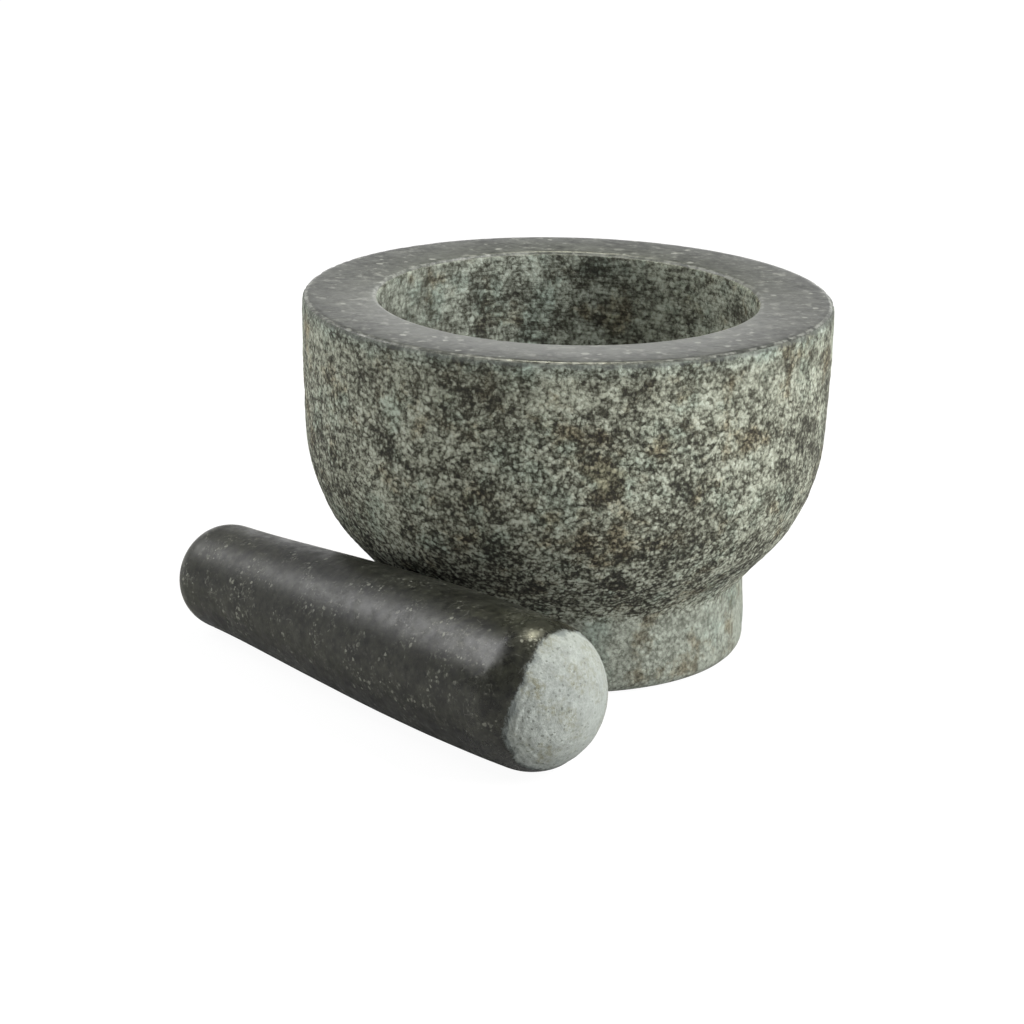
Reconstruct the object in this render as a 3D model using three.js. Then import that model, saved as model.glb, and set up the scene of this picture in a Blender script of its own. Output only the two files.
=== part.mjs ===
// A granite mortar turned on a low foot, with its granite pestle lying on the ground beside it.
// Millimetres, +Z up. The origin is the centre of the foot's flat underside.
import * as THREE from "three";

// Mortar: a straight-sided bowl with a wide flat rim, an angled belly and a round foot.
const MORTAR_HEIGHT = 108;
const RIM_RADIUS = 80;
const RIM_EDGE_ROUND = 1.6;
const MOUTH_RADIUS = 57.3;
const MOUTH_EDGE_ROUND = 1.5;
const SHOULDER_RADIUS = 77.3; // where the wall and the belly would meet without their round
const SHOULDER_HEIGHT = 50;
const SHOULDER_ROUND = 47;
const NECK_RADIUS = 55.3; // the top of the foot, where the belly starts
const NECK_HEIGHT = 23.8;
const NECK_ROUND = 4;
const FOOT_RADIUS = 56.2;
const FOOT_EDGE_ROUND = 4.5;

// Hollow: a short upright wall, then half an ellipsoid down to its floor.
const HOLLOW_DEPTH = 75;
const HOLLOW_WALL = 15;

// Pestle: a blunt small end, a body that swells towards the working end, and a ground dome.
const PESTLE_LENGTH = 180;
const GRIP_RADIUS = 16.3;
const GRIP_ROUND = 12; // how far the small end's round reaches along the pestle
const GRIP_BLUNTNESS = 0.7; // 0.55 is an ellipse, 1 a flat end
const HEAD_RADIUS = 21.6;
const HEAD_ROUND = 19;
const HEAD_BLUNTNESS = 0.56;

// The body's side is one curve, which leaves the grip towards the first of these points
// and reaches the head from the second, as [radius, distance along the pestle].
const BODY_LEAVES_TO = [17.3, 50];
const BODY_ARRIVES_FROM = [22.7, 100];

// Where the pestle lies: its working end's place, the way its axis points, and its tilt,
// which lets its underside touch the ground near both ends.
const HEAD_X = 5.4;
const HEAD_Y = -132;
const PESTLE_HEADING = THREE.MathUtils.degToRad(-50.4);
const PESTLE_TILT = THREE.MathUtils.degToRad(2.5);

const MORTAR_SIDES = 64;
const PESTLE_SIDES = 32;
const ROUND_STEP = THREE.MathUtils.degToRad(13); // the turn between two points of a round
const HOLLOW_STEPS = 12;
const PESTLE_END_STEPS = 6;
const PESTLE_BODY_STEPS = 9;

const graniteBody = new THREE.MeshStandardMaterial({
  color: 0x70736a,
  roughness: 0.85,
  metalness: 0,
});
const granitePolished = new THREE.MeshStandardMaterial({
  color: 0x40423e,
  roughness: 0.4,
  metalness: 0,
});

// The arc that rounds off one corner of an outline, as a list of points.
function roundCorner(before, corner, after, radius) {
  const toBefore = before.clone().sub(corner).normalize();
  const toAfter = after.clone().sub(corner).normalize();
  const halfAngle = Math.acos(toBefore.dot(toAfter)) / 2;
  const centre = toBefore
    .clone()
    .add(toAfter)
    .setLength(radius / Math.sin(halfAngle))
    .add(corner);
  const reach = radius / Math.tan(halfAngle);
  const start = toBefore.clone().setLength(reach).add(corner).sub(centre);
  const end = toAfter.clone().setLength(reach).add(corner).sub(centre);
  const clockwise = toBefore.cross(toAfter) > 0;
  const steps = Math.max(2, Math.ceil((Math.PI - 2 * halfAngle) / ROUND_STEP));
  return new THREE.EllipseCurve(
    centre.x, centre.y, radius, radius, start.angle(), end.angle(), clockwise,
  ).getPoints(steps);
}

// An outline through corners [radius, height, round], with every round drawn as an arc.
function roundedOutline(corners) {
  const at = corners.map(([radius, height]) => new THREE.Vector2(radius, height));
  return corners.flatMap(([, , round], i) =>
    round ? roundCorner(at[i - 1], at[i], at[i + 1], round) : [at[i]],
  );
}

// Turns an outline of radius against height about the +Z axis.
function turned(outline, sides) {
  return new THREE.LatheGeometry(outline, sides).rotateX(Math.PI / 2);
}

function mortarOutline() {
  const hollowEdge = MORTAR_HEIGHT - HOLLOW_WALL;
  const outside = roundedOutline([
    [0, 0, 0],
    [FOOT_RADIUS, 0, FOOT_EDGE_ROUND],
    [NECK_RADIUS, NECK_HEIGHT, NECK_ROUND],
    [SHOULDER_RADIUS, SHOULDER_HEIGHT, SHOULDER_ROUND],
    [RIM_RADIUS, MORTAR_HEIGHT, RIM_EDGE_ROUND],
    [MOUTH_RADIUS, MORTAR_HEIGHT, MOUTH_EDGE_ROUND],
    [MOUTH_RADIUS, hollowEdge, 0],
  ]);
  const hollow = new THREE.EllipseCurve(
    0, hollowEdge, MOUTH_RADIUS, HOLLOW_DEPTH - HOLLOW_WALL, 0, -Math.PI / 2, true,
  ).getPoints(HOLLOW_STEPS);
  hollow[HOLLOW_STEPS].x = 0;
  return [...outside, ...hollow.slice(1)];
}

// The rounded end of a bar: from its side to its tip on the axis.
function roundedEnd(side, tip, bluntness) {
  return new THREE.CubicBezierCurve(
    side,
    new THREE.Vector2(side.x, THREE.MathUtils.lerp(side.y, tip.y, bluntness)),
    new THREE.Vector2(side.x * bluntness, tip.y),
    tip,
  ).getPoints(PESTLE_END_STEPS);
}

function pestleOutline() {
  const gripStart = new THREE.Vector2(GRIP_RADIUS, GRIP_ROUND);
  const headStart = new THREE.Vector2(HEAD_RADIUS, PESTLE_LENGTH - HEAD_ROUND);
  const smallEnd = roundedEnd(gripStart, new THREE.Vector2(0, 0), GRIP_BLUNTNESS);
  const workingEnd = roundedEnd(headStart, new THREE.Vector2(0, PESTLE_LENGTH), HEAD_BLUNTNESS);
  const body = new THREE.CubicBezierCurve(
    gripStart,
    new THREE.Vector2(...BODY_LEAVES_TO),
    new THREE.Vector2(...BODY_ARRIVES_FROM),
    headStart,
  ).getPoints(PESTLE_BODY_STEPS);
  return [...smallEnd.reverse(), ...body.slice(1), ...workingEnd.slice(1)];
}

function makeMortar() {
  const mortar = new THREE.Mesh(turned(mortarOutline(), MORTAR_SIDES), graniteBody);
  mortar.name = "mortar";
  return mortar;
}

// The pestle lies on its side, with its working end at (HEAD_X, HEAD_Y) and its underside on the ground.
function makePestle() {
  const geometry = turned(pestleOutline(), PESTLE_SIDES).translate(0, 0, -PESTLE_LENGTH);
  const pestle = new THREE.Mesh(geometry, granitePolished);
  pestle.name = "pestle";
  pestle.rotation.y = Math.PI / 2 - PESTLE_TILT;
  const laid = new THREE.Group().add(pestle);
  laid.rotation.z = PESTLE_HEADING;
  laid.position.set(HEAD_X, HEAD_Y, 0);
  laid.position.z = -new THREE.Box3().setFromObject(laid, true).min.z;
  return laid;
}

const mortarAndPestle = new THREE.Group().add(makeMortar(), makePestle());

export default mortarAndPestle;
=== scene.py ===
"""The looks of a turned granite mortar and its pestle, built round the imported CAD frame.

Blender works in metres; the shapes and patterns of the stone below are written in millimetres.
"""
import math

import bpy
import numpy as np
from mathutils import Matrix, Vector, noise


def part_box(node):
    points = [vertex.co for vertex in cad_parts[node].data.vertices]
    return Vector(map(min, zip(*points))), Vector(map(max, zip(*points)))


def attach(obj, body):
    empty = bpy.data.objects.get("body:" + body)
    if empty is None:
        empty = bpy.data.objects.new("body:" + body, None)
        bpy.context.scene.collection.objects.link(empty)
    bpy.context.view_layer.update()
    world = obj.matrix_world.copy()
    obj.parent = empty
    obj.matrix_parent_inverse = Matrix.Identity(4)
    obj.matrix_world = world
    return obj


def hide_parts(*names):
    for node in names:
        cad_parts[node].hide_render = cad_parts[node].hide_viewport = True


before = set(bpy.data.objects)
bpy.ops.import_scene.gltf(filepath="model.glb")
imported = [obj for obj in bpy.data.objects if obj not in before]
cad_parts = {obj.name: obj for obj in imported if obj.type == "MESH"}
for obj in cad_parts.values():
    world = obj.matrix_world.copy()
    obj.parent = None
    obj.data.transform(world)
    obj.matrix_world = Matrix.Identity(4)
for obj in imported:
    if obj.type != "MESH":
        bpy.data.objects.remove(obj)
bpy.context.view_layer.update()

MM = 0.001

# The mortar's outline: corners as (radius, height), each with the radius of its round.
# Its height and rim come from the frame.
MORTAR_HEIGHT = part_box("mortar")[1].z / MM
RIM_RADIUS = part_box("mortar")[1].x / MM
RIM_EDGE_ROUND = 1.6
MOUTH_RADIUS = 57.3
MOUTH_EDGE_ROUND = 1.5
SHOULDER = (77.3, 50)
SHOULDER_ROUND = 47
NECK = (55.3, 23.8)
NECK_ROUND = 4
FOOT_RADIUS = 56.2
FOOT_EDGE_ROUND = 4.5
HOLLOW_WALL = 15
HOLLOW_DEPTH = 75

# The pestle's outline, from its small end to its ground working end.
GRIP_RADIUS = 16.3
GRIP_ROUND = 12
GRIP_BLUNTNESS = 0.7
HEAD_RADIUS = 21.6
HEAD_ROUND = 19
HEAD_BLUNTNESS = 0.56
BODY_LEAVES_TO = (17.3, 50)
BODY_ARRIVES_FROM = (22.7, 100)

# How the mortar's skin departs from its outline.
HAND_TURNED = 0.3        # slow waves left by hand turning
LUMPS = 0.14
GRAINS = 0.16
PIT_DEPTH = 0.35
WALL_FULLNESS = 0.45     # how far the wall swells past its straight outline
BELLY_FULLNESS = 0.5
RIM_FALL = 0.22          # how far the crowned rim drops from its arris to the mouth
ARRIS_CHIPS = 0.3        # how deep the chips go in the rim's outer edge
MOUTH_CHIPS = 0.15

# How the pestle's skin departs from its outline. Its sides are angles about its axis, and 0
# is underneath.
PESTLE_HAND_TURNED = 0.08
PESTLE_INSET = 1.1       # keeps the waves inside the outline, in parts of their height
DENT_DEPTH = 0.06
GROUND_REACH = 11.5      # how far back from its tip the pestle is ground
SHORT_REACH = 4.3        # how much less on the side where the polish runs nearest to the tip
SHORT_SIDE = math.radians(-122)
FAR_REACH = 2.4          # how much more on the far upper side
FAR_SIDE = math.radians(125)
RIDGED_SIDE = math.radians(-60)
RUGGED_SIDE = math.radians(-95)
GROUND_SINK = 0.3        # how far the ground face lies inside the outline
RING_DEPTH = 0.035
GROOVE_DEPTH = 0.2
GROOVE_RADIUS = 6.2
RIDGE_HEIGHT = 0.45

# Camera: where it stands, where it looks, how far it is turned about its own axis.
CAMERA_PLACE = (-0.0014, -1.0176, 0.3569)
CAMERA_AIM = (-0.0156, 0, 0.0393)
CAMERA_ROLL = 0.0204
CAMERA_LENS = 122.3

# The meshes' fineness.
MORTAR_SIDES = 448
PESTLE_SIDES = 256
PESTLE_STEP = 0.65       # between two rings of the pestle's mesh
OUTLINE_SAMPLES = 4000   # for spacing the rings along an outline

# Light levels, as pairs of a direction's component and the level there.
HEIGHT_LEVELS = [
    (-1, 0.3), (-0.4, 0.4), (0, 1.65), (0.08, 1.5), (0.18, 0.92), (0.3, 0.72), (0.5, 0.45), (1, 0.35),
]
SIDE_LEVELS = [(-1, 0.3), (-0.6, 0.66), (-0.12, 0.88), (0.1, 1), (1, 1)]
FLOOR_COLOUR = 0.08
FLOOR_GLOW = 0.95
BOUNCE_COLOUR = 0.5
STAGE_REACH = 6          # how far the floor and the backdrop lie from the middle, in metres
BACKDROP_SIDES = 96
KEY_DIRECTION = (1.0, -0.3, 0.7)
KEY_SOFTNESS = math.radians(35)
KEY_STRENGTH = 3.8
WINDOW_SIZE = (0.55, 0.46)
WINDOW_POWER = 4.3
WINDOW_PLACE = (-0.66, 0.17, 0.535)
WINDOW_AIM = (0, -0.05, 0.03)
LAMP_SIZE = (0.12, 0.08)
LAMP_POWER = 3.6
LAMP_PLACE = (0, 0.27, 0.9)
LAMP_AIM = (0, -0.1, 0.03)
LAMP_COLOUR = (1, 0.98, 0.72)
WHITE = (1, 1, 1)


# ---------------------------------------------------------------- outlines

def rounded_corner(before, corner, after, radius, step=0.25):
    """The points of the arc that rounds off one corner of an outline."""
    before, corner, after = map(np.array, (before, corner, after))
    back = (before - corner) / np.linalg.norm(before - corner)
    on = (after - corner) / np.linalg.norm(after - corner)
    half = math.acos(np.dot(back, on)) / 2
    bisector = (back + on) / np.linalg.norm(back + on)
    centre = corner + bisector * radius / math.sin(half)
    first = corner + back * radius / math.tan(half) - centre
    last = corner + on * radius / math.tan(half) - centre
    start = math.atan2(first[1], first[0])
    turn = (math.atan2(last[1], last[0]) - start + math.pi) % (2 * math.pi) - math.pi
    angles = start + turn * np.linspace(0, 1, max(3, math.ceil(abs(turn) * radius / step)))
    return centre + radius * np.stack([np.cos(angles), np.sin(angles)], 1)


def bezier(a, b, c, d, count=60):
    t = np.linspace(0, 1, count)[:, None]
    a, b, c, d = (np.array(p, float) for p in (a, b, c, d))
    return a * (1 - t) ** 3 + 3 * b * t * (1 - t) ** 2 + 3 * c * t * t * (1 - t) + d * t ** 3


def length_along(points):
    return np.append(0, np.cumsum(np.linalg.norm(np.diff(points, axis=0), axis=1)))


def mortar_outline():
    """The outline's points, from the underside's centre to the hollow's floor.

    With them comes each landmark's distance along the outline.
    """
    hollow_edge = MORTAR_HEIGHT - HOLLOW_WALL
    corners = [
        ("centre", 0, 0, 0),
        ("foot", FOOT_RADIUS, 0, FOOT_EDGE_ROUND),
        ("neck", *NECK, NECK_ROUND),
        ("shoulder", *SHOULDER, SHOULDER_ROUND),
        ("arris", RIM_RADIUS, MORTAR_HEIGHT, RIM_EDGE_ROUND),
        ("mouth", MOUTH_RADIUS, MORTAR_HEIGHT, MOUTH_EDGE_ROUND),
        ("wall", MOUTH_RADIUS, hollow_edge, 0),
    ]
    at = [corner[1:3] for corner in corners]
    points, landmarks = [], {}
    for i, (name, radius, height, rounding) in enumerate(corners):
        if rounding:
            arc = rounded_corner(at[i - 1], at[i], at[i + 1], rounding)
        else:
            arc = np.array([[radius, height]], float)
        landmarks[name] = len(points) + len(arc) // 2
        points.extend(arc)
    turn = np.linspace(0, math.pi / 2, 100)[1:]
    depth = HOLLOW_DEPTH - HOLLOW_WALL
    points.extend(np.stack([MOUTH_RADIUS * np.cos(turn), hollow_edge - depth * np.sin(turn)], 1))
    points = np.array(points)
    along = length_along(points)
    return points, {name: along[index] for name, index in landmarks.items()}


def rounded_end(side, tip, bluntness):
    """The rounded end of a bar, from its side to its tip on the axis."""
    return bezier(
        side,
        (side[0], side[1] + (tip[1] - side[1]) * bluntness),
        (side[0] * bluntness, tip[1]),
        tip,
    )


def pestle_outline(length):
    grip, head = (GRIP_RADIUS, GRIP_ROUND), (HEAD_RADIUS, length - HEAD_ROUND)
    small_end = rounded_end(grip, (0, 0), GRIP_BLUNTNESS)[::-1]
    body = bezier(grip, BODY_LEAVES_TO, BODY_ARRIVES_FROM, head)
    working_end = rounded_end(head, (0, length), HEAD_BLUNTNESS)
    return np.concatenate([small_end, body[1:], working_end[1:]])


def spaced(points, step_at):
    """The outline's points again, spaced by a step that step_at gives for each distance along it."""
    along = length_along(points)
    fine = np.linspace(0, along[-1], OUTLINE_SAMPLES)
    cost = np.append(0, np.cumsum(np.diff(fine) / step_at((fine[1:] + fine[:-1]) / 2)))
    stations = np.interp(np.linspace(0, cost[-1], math.ceil(cost[-1])), cost, fine)
    return np.stack([np.interp(stations, along, points[:, k]) for k in (0, 1)], 1), stations


# ---------------------------------------------------------------- relief

def smooth(low, high, value):
    t = np.clip((value - low) / (high - low), 0, 1)
    return t * t * (3 - 2 * t)


def stone_noise(points, size, octaves=1, seed=0):
    """Fractal noise, about -1 to 1, at each point; size is its coarsest grain in millimetres."""
    shift = Vector((13.7, 7.9, 3.1)) * (seed + 1)
    scale = 1 / size
    return np.array([noise.fractal(Vector(p) * scale + shift, 1, 2, octaves) for p in points])


def near(along, landmark, reach):
    """1 at a landmark on the outline, fading to 0 at reach from it."""
    return 1 - smooth(0, reach, np.abs(along - landmark))


def mortar_relief(points, along, marks):
    """How far the stone's skin lies outside its outline, in millimetres."""
    rough = smooth(marks["foot"] + 4, marks["foot"] + 8, along)
    rough *= 1 - smooth(marks["arris"] - 5, marks["arris"] - 1.5, along)
    above_neck = smooth(marks["neck"] - 3, marks["neck"] + 6, along)
    hollow = smooth(marks["mouth"] + 1, marks["mouth"] + 4, along)
    hand_turned = HAND_TURNED * stone_noise(points, 42, 2, 1)
    lumps = LUMPS * stone_noise(points, 8, 2, 2)
    grain = GRAINS * stone_noise(points, 2.6, 2, 3)
    pits = -PIT_DEPTH * smooth(0.35, 0.75, stone_noise(points, 3.4, 1, 4))
    skin = (rough + hollow) * hand_turned + (rough + 0.6 * hollow) * lumps
    skin += rough * (0.3 + 0.7 * above_neck) * (grain + pits) + 0.5 * hollow * grain
    skin += fullness(points, along, marks) - rim_crown(along, marks)
    chips = smooth(0.1, 0.7, stone_noise(points, 4.5, 2, 5))
    at_arris, at_mouth = near(along, marks["arris"], 1.6), near(along, marks["mouth"], 1.5)
    skin -= chips * (ARRIS_CHIPS * at_arris + MOUTH_CHIPS * at_mouth)
    return skin


def fullness(points, along, marks):
    """A slow swelling of the wall and of the belly."""
    outside = along < marks["arris"] - 2
    height = points[:, 2]
    wall = WALL_FULLNESS * smooth(54, 72, height) * (1 - smooth(88, 105, height))
    belly = BELLY_FULLNESS * smooth(27, 36, height) * (1 - smooth(38, 48, height))
    return outside * (wall + belly)


def rim_crown(along, marks):
    """How far the rim lies below its arris: level at the arris, and steeper towards the mouth."""
    across = np.clip((along - marks["arris"]) / (marks["mouth"] - marks["arris"]), 0, 1)
    fades = 1 - smooth(marks["mouth"] - 1.2, marks["mouth"] + 3, along)
    return RIM_FALL * across ** 2 * fades


def pestle_ground(points, length):
    """How far each point lies past the edge of the ground end: positive on the ground face.

    With it comes how near the point is to the ridged side, up to 1.
    """
    angle = np.arctan2(points[:, 1], points[:, 0])
    short = np.exp(2.8 * (np.cos(angle - SHORT_SIDE) - 1))
    far = np.exp(3 * (np.cos(angle - FAR_SIDE) - 1))
    edge = GROUND_REACH - SHORT_REACH * short + FAR_REACH * far + 0.5 * stone_noise(points, 5, 3, 15)
    ridged = np.exp(2.2 * (np.cos(angle - RIDGED_SIDE) - 1))
    return points[:, 2] - (length - edge), ridged


def pestle_relief(points, length):
    """The pestle's skin: smooth sides with a few dents, and a ground end with rings and low ridges."""
    ground, ridged = pestle_ground(points, length)
    face = smooth(-0.4, 0.5, ground)
    radius = np.hypot(points[:, 0], points[:, 1])
    hand_turned = PESTLE_HAND_TURNED * (stone_noise(points, 36, 2, 11) - PESTLE_INSET)
    dents = -DENT_DEPTH * smooth(0.5, 0.8, stone_noise(points, 4, 1, 12)) * (1 - face)
    rings = RING_DEPTH * np.sin(radius * 2.4 + 2.5 * stone_noise(points, 9, 2, 13))
    groove = -GROOVE_DEPTH * np.exp(-((radius - GROOVE_RADIUS) / 0.5) ** 2)
    groove *= smooth(-0.1, 0.3, stone_noise(points, 11, 1, 17))
    ridged *= smooth(8, 1, ground)
    ridges = -RIDGE_HEIGHT * ridged * (0.4 + np.sin(ground * 3.9 + 2 * stone_noise(points, 7, 2, 16)))
    grain = 0.05 * stone_noise(points, 1.8, 2, 14)
    ground_skin = rings + groove + ridges + grain - GROUND_SINK
    return np.minimum(hand_turned + dents + face * ground_skin, 0)


# ---------------------------------------------------------------- meshes

def turned_piece(name, outline, along, around, relief, place=Matrix()):
    """A closed mesh turned about +Z from an outline that starts and ends on the axis.

    relief(points, along) moves each point along its normal; place carries the result to its place.
    Each vertex keeps its untouched place and its distance along the outline for the materials.
    """
    ring, ring_along = outline[1:-1], along[1:-1]
    tangent = np.gradient(outline, along, axis=0)[1:-1]
    tangent /= np.linalg.norm(tangent, axis=1)[:, None]
    angle = np.linspace(0, 2 * math.pi, around, endpoint=False)
    spin = np.stack([np.cos(angle), np.sin(angle)], 1)
    points = np.concatenate(
        [np.concatenate([r * spin, np.full((around, 1), z)], 1) for r, z in ring]
    )
    normals = np.concatenate(
        [np.concatenate([tz * spin, np.full((around, 1), -tr)], 1) for tr, tz in tangent]
    )
    far = np.repeat(ring_along, around)
    skin = points + normals * relief(points, far)[:, None]
    first, last = skin[:around, 2].mean(), skin[-around:, 2].mean()
    skin = np.concatenate([skin, [[0, 0, first], [0, 0, last]]])
    points = np.concatenate([points, [[0, 0, outline[0][1]], [0, 0, outline[-1][1]]]])
    far = np.concatenate([far, [along[0], along[-1]]])

    mesh = bpy.data.meshes.new(name)
    world = skin @ np.array(place.to_3x3()).T * MM + np.array(place.translation)
    mesh.from_pydata(world, [], ring_faces(len(ring), around))
    mesh.update()
    mesh.shade_smooth()
    keep(mesh, "local_mm", points)
    keep(mesh, "along_mm", far)
    piece = bpy.data.objects.new(name, mesh)
    bpy.context.collection.objects.link(piece)
    return piece, points


def keep(mesh, name, values):
    """Stores one number or one vector for each vertex, for the materials to read."""
    kind, field = ("FLOAT", "value") if values.ndim == 1 else ("FLOAT_VECTOR", "vector")
    mesh.attributes.new(name, kind, "POINT").data.foreach_set(field, values.ravel())


def ring_faces(rings, around):
    """Quads between neighbouring rings, and a fan of triangles at each end, all facing out."""
    here = np.arange(around)
    there = (here + 1) % around
    faces = []
    for k in range(rings - 1):
        low, high = k * around, (k + 1) * around
        faces += np.stack([here + low, there + low, there + high, here + high], 1).tolist()
    first, last = rings * around, rings * around + 1
    top = (rings - 1) * around
    faces += [[first, int(j), int(i)] for i, j in zip(here, there)]
    faces += [[last, int(i) + top, int(j) + top] for i, j in zip(here, there)]
    return faces


# ---------------------------------------------------------------- material helpers

class Stone:
    """A material's node tree, with short calls for the patterns that stone is made of."""

    def __init__(self, name):
        self.material = bpy.data.materials.new(name)
        self.material.use_nodes = True
        self.tree = self.material.node_tree
        self.shader = self.tree.nodes["Principled BSDF"]
        self.place = self.attribute("local_mm", "Vector")
        self.along = self.attribute("along_mm", "Fac")

    def add(self, kind, inputs, **settings):
        node = self.tree.nodes.new(kind)
        for key, value in settings.items():
            setattr(node, key, value)
        for key, value in inputs.items():
            if isinstance(value, bpy.types.NodeSocket):
                self.tree.links.new(value, node.inputs[key])
            else:
                node.inputs[key].default_value = value
        return node

    def attribute(self, name, output):
        return self.add("ShaderNodeAttribute", {}, attribute_name=name).outputs[output]

    def noise(self, size, detail=2.0, roughness=0.5, distortion=0.0, place=None, stretch=None):
        place = self.stretched(stretch) if stretch else place or self.place
        inputs = {"Vector": place, "Scale": 1 / size, "Detail": detail,
                  "Roughness": roughness, "Distortion": distortion}
        return self.add("ShaderNodeTexNoise", inputs).outputs["Fac"]

    def from_cell_edges(self, size, place):
        """The distance from the edges of a network of cells."""
        inputs = {"Vector": place, "Scale": 1 / size}
        node = self.add("ShaderNodeTexVoronoi", inputs, feature="DISTANCE_TO_EDGE")
        return node.outputs["Distance"]

    def stretched(self, factors):
        return self.add("ShaderNodeMapping", {"Vector": self.place, "Scale": factors}).outputs[0]

    def drift(self, size):
        """A vector that wanders round zero."""
        colour = self.add("ShaderNodeTexNoise", {"Vector": self.place, "Scale": 1 / size, "Detail": 1})
        return self.vector("SUBTRACT", colour.outputs["Color"], (0.5, 0.5, 0.5))

    def warped(self, size, amount):
        """The place on the stone, bent by noise so that no pattern runs straight."""
        return self.vector("ADD", self.place, self.vector("MULTIPLY", self.drift(size), (amount,) * 3))

    def vector(self, operation, a, b):
        return self.add("ShaderNodeVectorMath", {0: a, 1: b}, operation=operation).outputs[0]

    def math(self, operation, a, b=0.0, clamp=False):
        node = self.add("ShaderNodeMath", {0: a, 1: b}, operation=operation, use_clamp=clamp)
        return node.outputs[0]

    def weighted(self, *terms, constant=0.0):
        """The sum of weight times value over the terms, plus a constant."""
        total = constant
        for weight, value in terms:
            node = self.add("ShaderNodeMath", {0: value, 1: weight, 2: total}, operation="MULTIPLY_ADD")
            total = node.outputs[0]
        return total

    def blended(self, amount, a, b):
        """Numbers a and b mixed."""
        return self.add("ShaderNodeMix", {0: amount, 2: a, 3: b}).outputs[0]

    def moved(self, x, y, z):
        """The place on the stone, moved far enough to read another part of a noise."""
        return self.vector("ADD", self.place, (x, y, z))

    def band(self, value, low, high, to_low=0.0, to_high=1.0):
        """A smooth step from to_low to to_high while the value goes from low to high."""
        inputs = {"Value": value, "From Min": low, "From Max": high,
                  "To Min": to_low, "To Max": to_high}
        return self.add("ShaderNodeMapRange", inputs, interpolation_type="SMOOTHSTEP").outputs[0]

    def mix(self, amount, a, b, blend="MIX"):
        """Colours a and b mixed."""
        node = self.add("ShaderNodeMix", {}, data_type="RGBA", blend_type=blend)
        for index, value in ((0, amount), (6, a), (7, b)):
            if isinstance(value, bpy.types.NodeSocket):
                self.tree.links.new(value, node.inputs[index])
            else:
                node.inputs[index].default_value = value if index == 0 else (*value, 1)
        return node.outputs[2]

    def ramp(self, value, stops):
        node = self.add("ShaderNodeValToRGB", {"Fac": value})
        elements = node.color_ramp.elements
        while len(elements) < len(stops):
            elements.new(1)
        for element, (position, colour) in zip(elements, stops):
            element.position = position
            element.color = (*colour, 1)
        return node.outputs["Color"]

    def bump(self, height, distance, normal=None):
        """Relief of the given depth in millimetres where height goes from 0 to 1."""
        inputs = {"Height": height, "Distance": distance * MM}
        if normal:
            inputs["Normal"] = normal
        return self.add("ShaderNodeBump", inputs).outputs["Normal"]

    def finish(self, **inputs):
        for key, value in inputs.items():
            socket = self.shader.inputs[key.replace("_", " ")]
            if isinstance(value, bpy.types.NodeSocket):
                self.tree.links.new(value, socket)
            else:
                socket.default_value = value
        return self.material


# ---------------------------------------------------------------- granite

DARK_MINERAL = (0.011, 0.0105, 0.006)
OLIVE_MINERAL = (0.04, 0.039, 0.025)
GREY_MINERAL = (0.13, 0.135, 0.102)
PALE_MINERAL = (0.3, 0.315, 0.248)
WHITE_MINERAL = (0.47, 0.495, 0.415)
BROWN_TINT = (0.95, 0.82, 0.69)
SEA_TINT = (0.92, 0.99, 1.0)
COOL_TINT = (0.97, 1.0, 1.06)
HONED_DARK = (0.014, 0.0155, 0.013)
HONED_PALE = (0.085, 0.09, 0.08)
HONED_FLECK = (0.25, 0.255, 0.235)
# honed grey of the lip, darkened as painted shade under the arris
LIP_GREY_AND_SHADE = (0.085, 0.093, 0.086)
LIP_TINT = (0.95, 1.0, 1.04)
# pale wear and painted highlight along the rim's edges
WORN_EDGE_AND_HIGHLIGHT = (0.34, 0.35, 0.325)

GRAIN = 1.3              # the size of a crystal
SKIN_DEPTH = 0.3         # how far pale crystals stand out of dark ones
GRIT_DEPTH = 0.04
ROUGH_ROUGHNESS = 0.85
ROUGH_GLOSS = 0.5
HONED_ROUGHNESS = 0.35
HONED_GLOSS = 0.4
POLISHED_GLOSS = 0.34
GROUND_ROUGHNESS = 0.85
GROUND_DEPTH = 0.45      # the relief of the pestle's ground end


def crystals(stone, grain):
    """A value near 0 for each mineral, below it in dark crystals and above it in white ones.

    Each crystal is paler at its middle, and finer flour fills the gaps.
    """
    place = stone.warped(2.5 * grain, 0.6 * grain)
    cell = stone.add("ShaderNodeTexVoronoi", {"Vector": place, "Scale": 1 / grain})
    mineral = stone.add("ShaderNodeSeparateColor", {"Color": cell.outputs["Color"]})
    return stone.weighted(
        (0.38, mineral.outputs[0]),
        (-0.35, cell.outputs["Distance"]),
        (1.4, stone.noise(0.8 * grain, 3, 0.6, place=place)),
        constant=-0.73,
    )


def clouds(stone, grain):
    """Clumps of like crystals and larger clouds, round 0."""
    return stone.weighted(
        (0.6, stone.noise(3.4 * grain, 2, 0.5, place=stone.moved(0, 0, 33))),
        (0.9, stone.noise(12, 4, 0.6)),
        (0.35, stone.noise(34, 1)),
        constant=-0.925,
    )


def granite_colour(stone, value):
    """The colour of each mineral, in clouds of olive brown and of bluish green."""
    brown = stone.band(stone.noise(14, 4, 0.65, place=stone.moved(90, 0, 0)), 0.52, 0.68)
    sea = stone.band(stone.noise(13, 3, 0.6, place=stone.moved(0, 70, 0)), 0.5, 0.68)
    colour = stone.ramp(stone.weighted((1, value), (-0.13, brown)), [
        (0.07, DARK_MINERAL),
        (0.29, OLIVE_MINERAL),
        (0.48, GREY_MINERAL),
        (0.7, PALE_MINERAL),
        (1.0, WHITE_MINERAL),
    ])
    colour = stone.mix(brown, colour, BROWN_TINT, "MULTIPLY")
    return stone.mix(sea, colour, SEA_TINT, "MULTIPLY")


def ragged(stone, size, amount):
    """The distance along the outline, made uneven so that zones of finish meet in a ragged line."""
    return stone.weighted((1, stone.along), (amount, stone.noise(size, 3, 0.65)), constant=-amount / 2)


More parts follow.
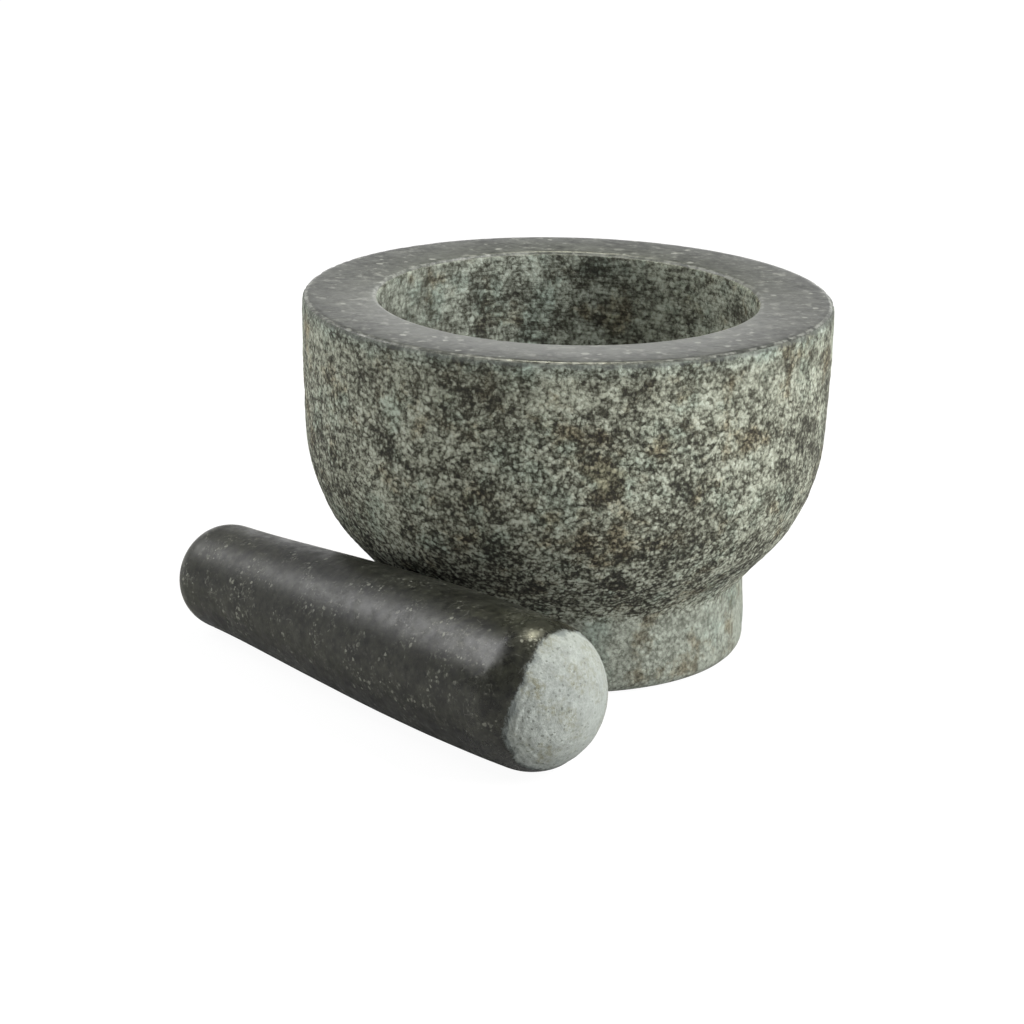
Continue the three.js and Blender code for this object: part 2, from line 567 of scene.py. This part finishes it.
def flecks(stone, spacing, radius, share, place):
    """Small crystals: a ragged dot in a share of the cells of a network."""
    bent = stone.vector("ADD", place, stone.vector("MULTIPLY", stone.drift(1.3), (1.3,) * 3))
    cell = stone.add("ShaderNodeTexVoronoi", {"Vector": bent, "Scale": 1 / spacing})
    pick = stone.add("ShaderNodeSeparateColor", {"Color": cell.outputs["Color"]})
    size = stone.band(pick.outputs[1], 0, 1, 0.5 * radius / spacing, 1.2 * radius / spacing)
    dot = stone.band(stone.math("SUBTRACT", cell.outputs["Distance"], size), 0.06, -0.06)
    return stone.math("MULTIPLY", dot, stone.math("GREATER_THAN", pick.outputs[0], 1 - share))


def mortar_material(marks):
    """Granite, rough outside, finer on the foot and in the hollow, and honed on the rim."""
    stone = Stone("granite_rough")
    zones = mortar_zones(stone, marks)
    across = across_rim(stone, marks)
    value = mineral_value(stone, marks, zones)
    return stone.finish(
        Base_Color=mortar_colour(stone, marks, zones, value, across),
        Roughness=stone.band(zones["rim"], 0, 1, ROUGH_ROUGHNESS, HONED_ROUGHNESS),
        Normal=mortar_bumps(stone, zones, value, across),
        Specular_IOR_Level=stone.band(zones["rim"], 0, 1, ROUGH_GLOSS, HONED_GLOSS),
    )


def mortar_zones(stone, marks):
    """How far each point belongs to each zone of finish, 0 to 1. The zones meet in ragged lines."""
    arris, mouth, neck = marks["arris"], marks["mouth"], marks["neck"]
    edge = ragged(stone, 2.2, 1.6)
    close_edge = ragged(stone, 1.2, 0.7)
    hollow = stone.band(close_edge, mouth + 0.1, mouth + 0.7)
    past_arris = stone.band(close_edge, arris - 0.2, arris + 0.2)
    before_mouth = stone.band(close_edge, mouth + 0.7, mouth + 0.1)
    left, right, sunny = sides(stone, hollow)
    return {
        "foot": stone.band(edge, neck + 3, neck - 3),
        "hollow": hollow,
        "outside": stone.band(hollow, 0, 1, 1, 0),
        "rim": stone.math("MULTIPLY", past_arris, before_mouth),
        # where honing the rim has run over its arris onto the wall; its grey also holds painted shade
        # under the arris
        "lip": stone.band(ragged(stone, 2.4, 3), arris - 1.9, arris - 0.5, 0, 0.65),
        "left": left,
        "right": right,
        "sunny": sunny,
    }


def mineral_value(stone, marks, zones):
    """How pale the stone is at each point, from its crystals, their clouds and its zones, with painted
    light at the hollow's two ends and painted shade inside it.
    """
    turned = stone.noise(1.5, 3, 0.6, stretch=(0.22, 0.22, 1.5))
    streaks = stone.weighted((1.2, turned), constant=-0.6)
    streaks = stone.math("MULTIPLY", streaks, turning_marks(stone, marks))
    near_rim = stone.band(stone.along, marks["arris"] - 26, marks["arris"] - 6)
    on_belly = stone.band(stone.along, marks["shoulder"] + 10, marks["shoulder"] - 14)
    contrast = stone.weighted(
        (-0.93, zones["foot"]), (-0.16, zones["hollow"]), (-0.28, zones["left"]),
        (-0.24, near_rim), (0.3, on_belly), (-0.2, zones["sunny"]),
        constant=1.08,
    )
    fine = stone.weighted((1, crystals(stone, GRAIN)), (1, streaks))
    fine = stone.math("MULTIPLY", fine, contrast)
    cloudiness = stone.weighted((-0.65, zones["foot"]), (0.1, zones["hollow"]), constant=1)
    cloud = stone.math("MULTIPLY", clouds(stone, GRAIN), cloudiness)
    return stone.weighted(
        (1, fine), (1, cloud), (1, zone_shift(stone, marks)),
        # painted light: the hollow's left and right ends are painted paler than its shaded middle
        (0.06, zones["left"]), (0.145, zones["right"]),
        constant=0.475,
    )


def mortar_colour(stone, marks, zones, value, across):
    """Granite's colours, cooler on the foot and in the hollow, and grey on the rim and its lip, with
    painted shade under the arris and pale lines of wear and painted highlight along the arris and the
    mouth.
    """
    arris, mouth = marks["arris"], marks["mouth"]
    colour = granite_colour(stone, value)
    under_lip = stone.math("MULTIPLY", stone.band(stone.along, arris - 6, arris - 2), zones["outside"])
    colour = stone.mix(under_lip, colour, LIP_TINT, "MULTIPLY")
    cool = stone.weighted((1, zones["foot"]), (1, zones["hollow"]), (-0.7, zones["right"]))
    colour = stone.mix(cool, colour, COOL_TINT, "MULTIPLY")
    # the lip: honed grey, partly painted shade under the arris
    colour = stone.mix(stone.math("MULTIPLY", zones["lip"], zones["outside"]), colour, LIP_GREY_AND_SHADE)
    colour = stone.mix(zones["rim"], colour, honed_colour(stone, across))
    # wear and painted highlight: a pale line along the arris
    colour = stone.mix(worn_and_highlit_line(stone, arris + 0.7, 0.75), colour, WORN_EDGE_AND_HIGHLIGHT)
    # wear and painted highlight: a pale line along the mouth's edge
    return stone.mix(worn_and_highlit_line(stone, mouth - 0.3, 1.3), colour, WORN_EDGE_AND_HIGHLIGHT)


def mortar_bumps(stone, zones, value, across):
    """The skin's fine relief: pale crystals stand out of dark ones, with grit over them.

    Both are nearly gone where the stone is honed.
    """
    on_lip = stone.math("MULTIPLY", zones["lip"], stone.band(zones["hollow"], 0, 1, 0.8, 0))
    honed = stone.math("MAXIMUM", zones["rim"], on_lip)
    skin = stone.math("MULTIPLY", value, stone.band(honed, 0, 1, 1, 0.03))
    grit = stone.math("MULTIPLY", stone.noise(0.35, 2, 0.7), stone.band(honed, 0, 1, 1, 0.2))
    normal = stone.bump(grit, GRIT_DEPTH, stone.bump(skin, SKIN_DEPTH))
    return stone.bump(rim_waves(stone, zones["rim"], across), 1, normal)


def across_rim(stone, marks):
    """0 at the rim's arris and outside it, 1 at the mouth and inside it."""
    width = marks["mouth"] - marks["arris"]
    across = stone.weighted((1 / width, stone.along), constant=-marks["arris"] / width)
    return stone.math("ADD", across, clamp=True)


def rim_waves(stone, rim, across):
    """The rim's height in millimetres: steeper towards the mouth, with low waves left by honing."""
    steeper = stone.math("MULTIPLY", across, across)
    waves = stone.math("MULTIPLY", rim, stone.weighted((1, stone.noise(6, 3, 0.6)), constant=-0.5))
    return stone.weighted((-2.4, steeper), (0.75, across), (0.22, waves))


def zone_shift(stone, marks):
    """How much paler or darker each zone is: pale under the rim and at the neck, and darker all through
    the hollow as painted shade.
    """
    under_rim = stone.band(stone.along, marks["shoulder"], marks["arris"], 0, 0.07)
    at_neck = stone.band(stone.along, marks["neck"] + 12, marks["neck"] + 2, 0, 0.09)
    on_foot = stone.band(stone.along, marks["neck"] - 1, marks["foot"] + 4, 0, 0.01)
    # painted shade: from just inside the mouth, the whole hollow is darker
    at_mouth = stone.band(stone.along, marks["mouth"], marks["mouth"] + 1, 0, -0.08)
    # painted shade: a little darker still, deeper down the hollow
    shade_deeper_in_hollow = stone.band(stone.along, marks["mouth"] + 4, marks["mouth"] + 18, 0, -0.005)
    return stone.weighted((1, under_rim), (1, at_neck), (1, on_foot), (1, at_mouth), (1, shade_deeper_in_hollow))


def sides(stone, hollow):
    """The hollow's smoother left end and its right end, both painted paler as painted light in
    mineral_value, and the outside's more even right side.
    """
    x = stone.add("ShaderNodeSeparateXYZ", {"Vector": stone.place}).outputs["X"]
    left = stone.math("MULTIPLY", hollow, stone.band(x, -22, -48))
    right = stone.math("MULTIPLY", hollow, stone.band(x, 5, 40))
    sunny = stone.math("MULTIPLY", stone.band(hollow, 0, 1, 1, 0), stone.band(x, 20, 65))
    return left, right, sunny


def worn_and_highlit_line(stone, place, half_width):
    """A thin pale line along an edge, wear and a painted highlight together, broken in places."""
    off = stone.math("ABSOLUTE", stone.math("SUBTRACT", ragged(stone, 1.3, 0.9), place))
    line = stone.band(off, half_width, 0.4 * half_width)
    broken = stone.band(stone.noise(3, 3, 0.65, place=stone.moved(0, 55, 0)), 0.4, 0.64, 0.05, 0.5)
    return stone.math("MULTIPLY", line, broken)


def turning_marks(stone, marks):
    """How strongly the tool's level lines show: in the hollow, under the rim and round the neck."""
    inside = stone.band(stone.along, marks["mouth"], marks["mouth"] + 4, 0, 0.5)
    under_rim = stone.band(stone.along, marks["arris"] - 26, marks["arris"] - 4, 0.12, 0.4)
    from_neck = stone.math("ABSOLUTE", stone.math("SUBTRACT", stone.along, marks["neck"] + 2))
    round_neck = stone.band(from_neck, 9, 2, 0, 0.5)
    return stone.math("MAXIMUM", stone.math("ADD", inside, under_rim), round_neck)


def honed_colour(stone, across):
    """The rim's smooth mottled grey, paler towards the mouth, with small pale flecks."""
    cloud = stone.weighted(
        (0.6, stone.noise(7, 4, 0.65)), (0.5, stone.noise(1.8, 3, 0.6)), (0.16, across), constant=-0.13
    )
    colour = stone.ramp(cloud, [(0.34, HONED_DARK), (0.66, HONED_PALE)])
    smudge = stone.band(stone.noise(3.2, 3, 0.6, place=stone.moved(0, 0, 40)), 0.54, 0.72, 0, 0.5)
    colour = stone.mix(smudge, colour, HONED_FLECK)
    dots = flecks(stone, 4, 0.95, 0.27, stone.moved(10, 0, 0))
    return stone.mix(stone.math("MULTIPLY", dots, 0.75), colour, HONED_FLECK)


POLISHED_DARK = (0.0035, 0.0036, 0.0025)
POLISHED_PALE = (0.0265, 0.0275, 0.0195)
POLISHED_FLECK = (0.165, 0.168, 0.14)
POLISHED_SCRATCH = (0.09, 0.09, 0.08)
GROUND_DARK = (0.185, 0.2, 0.184)
GROUND_PALE = (0.345, 0.37, 0.345)
GROUND_OCHRE = (0.17, 0.167, 0.112)
GROUND_SCUFF = (0.11, 0.125, 0.122)
GROUND_PIT = (0.06, 0.064, 0.052)


def pestle_material():
    """Granite, dark and polished, with a pale ground end."""
    stone = Stone("granite_polished")
    ground_past = stone.weighted(
        (1, stone.attribute("ground_mm", "Fac")),
        (2, stone.noise(1.1, 4, 0.65)),
        (2, stone.noise(4.5, 2)),
        constant=-2,
    )
    near_ground = stone.band(ground_past, -34, -4)
    ground = stone.band(ground_past, -0.5, 0.5)
    scuffed = stone.weighted((1, ground_past), (9, stone.noise(7, 4, 0.6)))
    scuffed = stone.band(scuffed, 6.2, 4.4, 0, 0.75)
    rugged = rugged_side(stone)
    face_colour = stone.mix(scuffed, ground_colour(stone, rugged), GROUND_SCUFF)
    colour = stone.mix(ground, polished_colour(stone), face_colour)
    haze = stone.band(stone.noise(4.5, 4, 0.7, place=stone.moved(0, 0, 60)), 0.32, 0.68, 0.32, 0.48)
    haze = stone.weighted((1, haze), (-0.12, near_ground))
    roughness = stone.blended(ground, haze, GROUND_ROUGHNESS)
    normal = stone.bump(stone.noise(0.45, 3, 0.7), 0.015)
    face = stone.weighted((0.7, stone.noise(1.1, 3, 0.7)), (0.55, rings(stone, 0.9)))
    relief = stone.math("MULTIPLY", stone.math("MULTIPLY", ground, face), rugged)
    normal = stone.bump(relief, GROUND_DEPTH, normal)
    return stone.finish(
        Base_Color=colour, Roughness=roughness, Normal=normal, Specular_IOR_Level=POLISHED_GLOSS
    )


def rings(stone, width):
    """Fine lines that run round the axis."""
    drift = stone.weighted((1 / width, stone.along), (5, stone.noise(16, 2)))
    place = stone.add("ShaderNodeCombineXYZ", {"X": drift}).outputs[0]
    return stone.noise(1, 2, 0.6, place=place)


def polished_colour(stone):
    """Near black, clouded, with clusters of pale crystals and a few fine scratches."""
    cloud = stone.weighted(
        (0.55, stone.noise(8, 5, 0.65)), (0.85, stone.noise(2.6, 3, 0.6)), constant=-0.2
    )
    colour = stone.ramp(cloud, [(0.34, POLISHED_DARK), (0.68, POLISHED_PALE)])
    cluster = stone.band(stone.noise(9, 3, 0.6, place=stone.moved(0, 30, 0)), 0.47, 0.6, 0.12, 1)
    dots = flecks(stone, 1.7, 0.52, 0.42, stone.moved(0, 0, 20))
    dust = stone.band(stone.noise(1.1, 3, 0.6, place=stone.moved(0, 0, 70)), 0.5, 0.74, 0, 0.6)
    pale = stone.math("MULTIPLY", stone.math("MAXIMUM", dots, dust), cluster)
    colour = stone.mix(pale, colour, POLISHED_FLECK)
    scratch = stone.from_cell_edges(11, stone.warped(9, 7))
    broken = stone.band(stone.noise(5, 3, 0.6, place=stone.moved(50, 0, 0)), 0.56, 0.64)
    scratch = stone.math("MULTIPLY", stone.band(scratch, 0.014, 0.004), broken)
    return stone.mix(stone.math("MULTIPLY", scratch, 0.7), colour, POLISHED_SCRATCH)


def rugged_side(stone):
    """1 on the ground end's rugged side, falling to a worn smooth side across from it."""
    place = stone.add("ShaderNodeSeparateXYZ", {"Vector": stone.place}).outputs
    lean = stone.weighted((math.cos(RUGGED_SIDE), place["X"]), (math.sin(RUGGED_SIDE), place["Y"]))
    return stone.band(stone.weighted((1, lean), (14, stone.noise(8, 2)), constant=-7), -9, 9, 0.5, 1)


def ground_colour(stone, rugged):
    """Crushed pale stone, with ochre patches and small pits, all fainter where it is worn smooth."""
    cloud = stone.weighted(
        (0.6, stone.noise(4, 5, 0.75)), (0.4, stone.noise(0.8, 3, 0.7)), constant=-0.5
    )
    cloud = stone.weighted((1, stone.math("MULTIPLY", cloud, rugged)), (-0.04, rugged), constant=0.54)
    colour = stone.ramp(cloud, [(0.38, GROUND_DARK), (0.6, GROUND_PALE)])
    patch = stone.band(stone.noise(9, 3, 0.6, place=stone.moved(0, 0, 80)), 0.49, 0.6)
    strokes = stone.band(stone.noise(1.3, 4, 0.75, place=stone.moved(0, 0, 90)), 0.42, 0.62, 0.05, 0.85)
    ochre = stone.math("MULTIPLY", stone.math("MULTIPLY", patch, strokes), rugged)
    colour = stone.mix(ochre, colour, GROUND_OCHRE)
    pits = flecks(stone, 1.25, 0.36, 0.5, stone.moved(20, 0, 0))
    pits = stone.math("MULTIPLY", stone.math("MULTIPLY", pits, 0.6), rugged)
    return stone.mix(pits, colour, GROUND_PIT)


# ---------------------------------------------------------------- pieces

def make_mortar():
    points, marks = mortar_outline()

    def step_at(along):
        outside = smooth(marks["foot"] - 3, marks["foot"], along)
        rim = smooth(marks["arris"] + 1, marks["arris"] + 3, along)
        hollow = smooth(marks["mouth"], marks["mouth"] + 30, along)
        return 5 - 3.95 * outside + 0.3 * rim + 0.6 * hollow

    outline, along = spaced(points, step_at)
    piece, _ = turned_piece(
        "granite_mortar", outline, along, MORTAR_SIDES, lambda p, s: mortar_relief(p, s, marks)
    )
    piece.data.materials.append(mortar_material(marks))
    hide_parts("mortar")
    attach(piece, "mortar")


def pestle_place():
    """The pestle's own frame as the CAD lays it: +Z along it from its small end, +X down."""
    points = np.array([v.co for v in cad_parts["pestle"].data.vertices])
    middle = points.mean(0)
    axis = np.linalg.svd(points - middle, full_matrices=False)[2][0]
    far = (points - middle) @ axis
    radius = np.linalg.norm(points - middle - far[:, None] * axis, axis=1)
    if radius[far > 0].max() < radius[far < 0].max():
        axis, far = -axis, -far
    side = np.cross(Vector((0, 0, 1)), axis)
    side /= np.linalg.norm(side)
    down = np.cross(side, axis)
    place = Matrix(np.stack([down, side, axis], 1)).to_4x4()
    place.translation = middle + far.min() * axis
    return place, (far.max() - far.min()) / MM


def make_pestle():
    place, length = pestle_place()
    outline, along = spaced(pestle_outline(length), lambda along: np.full_like(along, PESTLE_STEP))
    piece, points = turned_piece(
        "granite_pestle", outline, along, PESTLE_SIDES, lambda p, s: pestle_relief(p, length), place
    )
    keep(piece.data, "ground_mm", pestle_ground(points, length)[0])
    piece.data.materials.append(pestle_material())
    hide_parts("pestle")
    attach(piece, "pestle")


# ---------------------------------------------------------------- studio

def make_camera():
    data = bpy.data.cameras.new("camera")
    data.lens = CAMERA_LENS
    camera = bpy.data.objects.new("camera", data)
    bpy.context.collection.objects.link(camera)
    view = Vector(CAMERA_AIM) - Vector(CAMERA_PLACE)
    turn = view.to_track_quat("-Z", "Y").to_matrix() @ Matrix.Rotation(CAMERA_ROLL, 3, "Z")
    camera.matrix_world = Matrix.Translation(CAMERA_PLACE) @ turn.to_4x4()
    bpy.context.scene.camera = camera


def stage_sheet(name, points, faces, colour, glow):
    """A matte sheet of the set that the object stands in."""
    mesh = bpy.data.meshes.new(name)
    mesh.from_pydata(points, [], faces)
    sheet = bpy.data.objects.new(name, mesh)
    bpy.context.collection.objects.link(sheet)
    material = bpy.data.materials.new(name)
    material.use_nodes = True
    shader = material.node_tree.nodes["Principled BSDF"]
    shader.inputs["Base Color"].default_value = (colour, colour, colour, 1)
    shader.inputs["Roughness"].default_value = 0.9
    shader.inputs["Specular IOR Level"].default_value = 0
    shader.inputs["Emission Color"].default_value = (*WHITE, 1)
    shader.inputs["Emission Strength"].default_value = glow
    mesh.materials.append(material)
    return sheet


def for_the_eye_only(sheet):
    """Keeps a sheet in view without letting it light or shade the object."""
    sheet.visible_diffuse = False
    sheet.visible_glossy = False
    sheet.visible_shadow = False


def make_floor():
    """A white floor for the eye, over a grey one that bounces the light."""
    def square(height):
        corners = [(-1, -1), (1, -1), (1, 1), (-1, 1)]
        return [(x * STAGE_REACH, y * STAGE_REACH, height) for x, y in corners]

    for_the_eye_only(stage_sheet("floor", square(0), [(0, 1, 2, 3)], FLOOR_COLOUR, FLOOR_GLOW))
    bounce = stage_sheet("bounce", square(-0.5 * MM), [(0, 1, 2, 3)], BOUNCE_COLOUR, 0)
    bounce.visible_camera = False


def make_backdrop():
    """A round white wall far behind, for the eye."""
    turn = np.linspace(0, 2 * math.pi, BACKDROP_SIDES, endpoint=False)
    ring = [(STAGE_REACH * math.cos(angle), STAGE_REACH * math.sin(angle)) for angle in turn]
    points = [(x, y, height) for height in (0, STAGE_REACH) for x, y in ring]
    low = np.arange(BACKDROP_SIDES)
    following = (low + 1) % BACKDROP_SIDES
    faces = np.stack([low, following, following + BACKDROP_SIDES, low + BACKDROP_SIDES], 1).tolist()
    for_the_eye_only(stage_sheet("backdrop", points, faces, FLOOR_COLOUR, FLOOR_GLOW))


def make_world():
    """The set's light, by height and by side: brightest low down, and dim above and on the left.

    It is the product of two ramps over the direction that the light comes from.
    """
    world = bpy.data.worlds.new("studio")
    bpy.context.scene.world = world
    world.use_nodes = True
    tree = world.node_tree
    direction = tree.nodes.new("ShaderNodeTexCoord")
    split = tree.nodes.new("ShaderNodeSeparateXYZ")
    tree.links.new(direction.outputs["Generated"], split.inputs[0])
    by_height = level_ramp(tree, split.outputs["Z"], HEIGHT_LEVELS)
    by_side = level_ramp(tree, split.outputs["X"], SIDE_LEVELS)
    product = tree.nodes.new("ShaderNodeMath")
    product.operation = "MULTIPLY"
    tree.links.new(by_height, product.inputs[0])
    tree.links.new(by_side, product.inputs[1])
    tree.links.new(product.outputs[0], tree.nodes["Background"].inputs["Color"])


def level_ramp(tree, value, levels):
    """A light level for a direction's component, from pairs of component and level."""
    place = tree.nodes.new("ShaderNodeMapRange")
    place.inputs["From Min"].default_value = -1
    tree.links.new(value, place.inputs["Value"])
    ramp = tree.nodes.new("ShaderNodeValToRGB")
    elements = ramp.color_ramp.elements
    while len(elements) < len(levels):
        elements.new(1)
    for element, (component, level) in zip(elements, levels):
        element.position = (component + 1) / 2
        element.color = (level, level, level, 1)
    tree.links.new(place.outputs[0], ramp.inputs["Fac"])
    return ramp.outputs["Color"]


def pointed(name, data, place, aim):
    """A light at a place, turned to its aim."""
    light = bpy.data.objects.new(name, data)
    bpy.context.collection.objects.link(light)
    light.visible_camera = False
    turn = (Vector(aim) - Vector(place)).to_track_quat("-Z", "Y").to_matrix().to_4x4()
    light.matrix_world = Matrix.Translation(place) @ turn


def key_light():
    """A wide soft light from the right."""
    data = bpy.data.lights.new("key", "SUN")
    data.angle = KEY_SOFTNESS
    data.energy = KEY_STRENGTH
    pointed("key", data, KEY_DIRECTION, (0, 0, 0))


def soft_box(name, size, power, place, aim, colour=WHITE):
    """A glowing rectangle."""
    data = bpy.data.lights.new(name, "AREA")
    data.shape = "RECTANGLE"
    data.size, data.size_y = size
    data.energy = power
    data.color = colour
    pointed(name, data, place, aim)


def window_light():
    """A softbox behind on the left, which draws the blurred band along the pestle."""
    soft_box("window", WINDOW_SIZE, WINDOW_POWER, WINDOW_PLACE, WINDOW_AIM)


def lamp_light():
    """A small warm lamp overhead, which glints on the pestle's shoulder."""
    soft_box("lamp", LAMP_SIZE, LAMP_POWER, LAMP_PLACE, LAMP_AIM, LAMP_COLOUR)


make_camera()
make_floor()
make_backdrop()
make_world()
key_light()
window_light()
lamp_light()
make_mortar()
make_pestle()
bpy.context.scene.view_settings.view_transform = "Standard"
